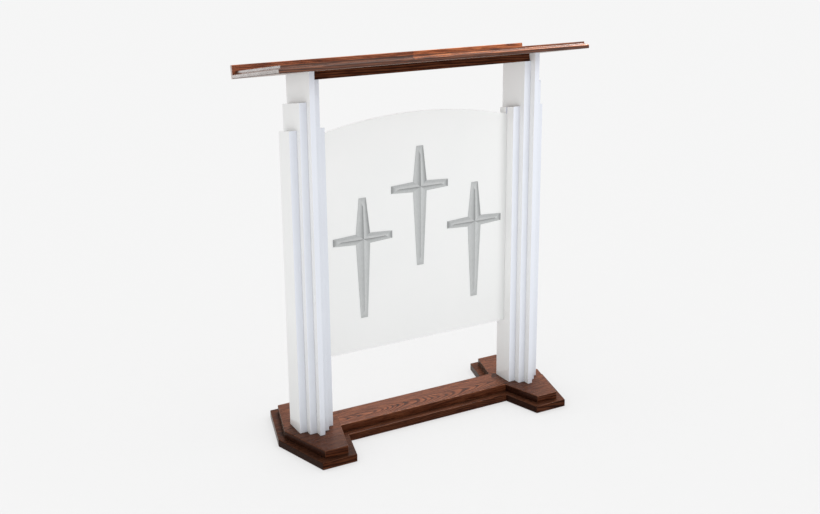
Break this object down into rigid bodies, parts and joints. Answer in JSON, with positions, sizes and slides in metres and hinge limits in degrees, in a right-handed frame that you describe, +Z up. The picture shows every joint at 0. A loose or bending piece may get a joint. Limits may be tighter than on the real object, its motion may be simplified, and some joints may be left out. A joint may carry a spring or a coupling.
{
  "type": "church pulpit",
  "caption": "Pulpit with stained-oak hexagonal feet, tie rail and sloping desk, laminated white acrylic posts and an arched frosted panel with bevelled crosses.",
  "frame": {"origin": "on the floor, at the middle of the footprint, midway between the posts", "axes": "+Z up, +X to the right when facing the front from the congregation, +Y towards the speaker"},
  "size_m": [1.026, 0.41, 1.1886],
  "materials": {
    "stained_oak": "reddish-brown stain under satin lacquer",
    "white_acrylic": "polished opal white",
    "frosted_acrylic": "frosted on both faces",
    "grey_acrylic": "bevelled and polished",
    "steel": "zinc plated",
    "beech_dowel": "bare",
    "felt": "pressed felt"
  },
  "bodies": {
    "root": {"left_foot_lower": "stained_oak", "left_foot_upper": "stained_oak", "right_foot_lower": "stained_oak", "right_foot_upper": "stained_oak", "base_rail_lower": "stained_oak", "base_rail_upper": "stained_oak", "desk_top": "stained_oak", "book_stop": "stained_oak", "desk_support_board": "stained_oak", "left_post_centre_slab": "white_acrylic", "left_post_inner_second_slab": "white_acrylic", "left_post_inner_third_slab": "white_acrylic", "left_post_outer_second_slab": "white_acrylic", "left_post_outer_third_slab": "white_acrylic", "right_post_centre_slab": "white_acrylic", "right_post_inner_second_slab": "white_acrylic", "right_post_inner_third_slab": "white_acrylic", "right_post_outer_second_slab": "white_acrylic", "right_post_outer_third_slab": "white_acrylic", "arched_panel": "frosted_acrylic", "cross_left": "grey_acrylic", "cross_middle": "grey_acrylic", "cross_right": "grey_acrylic", "post_bolts": "steel", "post_bolt_washers": "steel", "foot_screws": "steel", "rail_screws": "steel", "desk_screws": "steel", "support_pins": "steel", "rail_dowels": "beech_dowel", "book_stop_dowels": "beech_dowel", "floor_pads": "felt"}
  },
  "joints": []
}
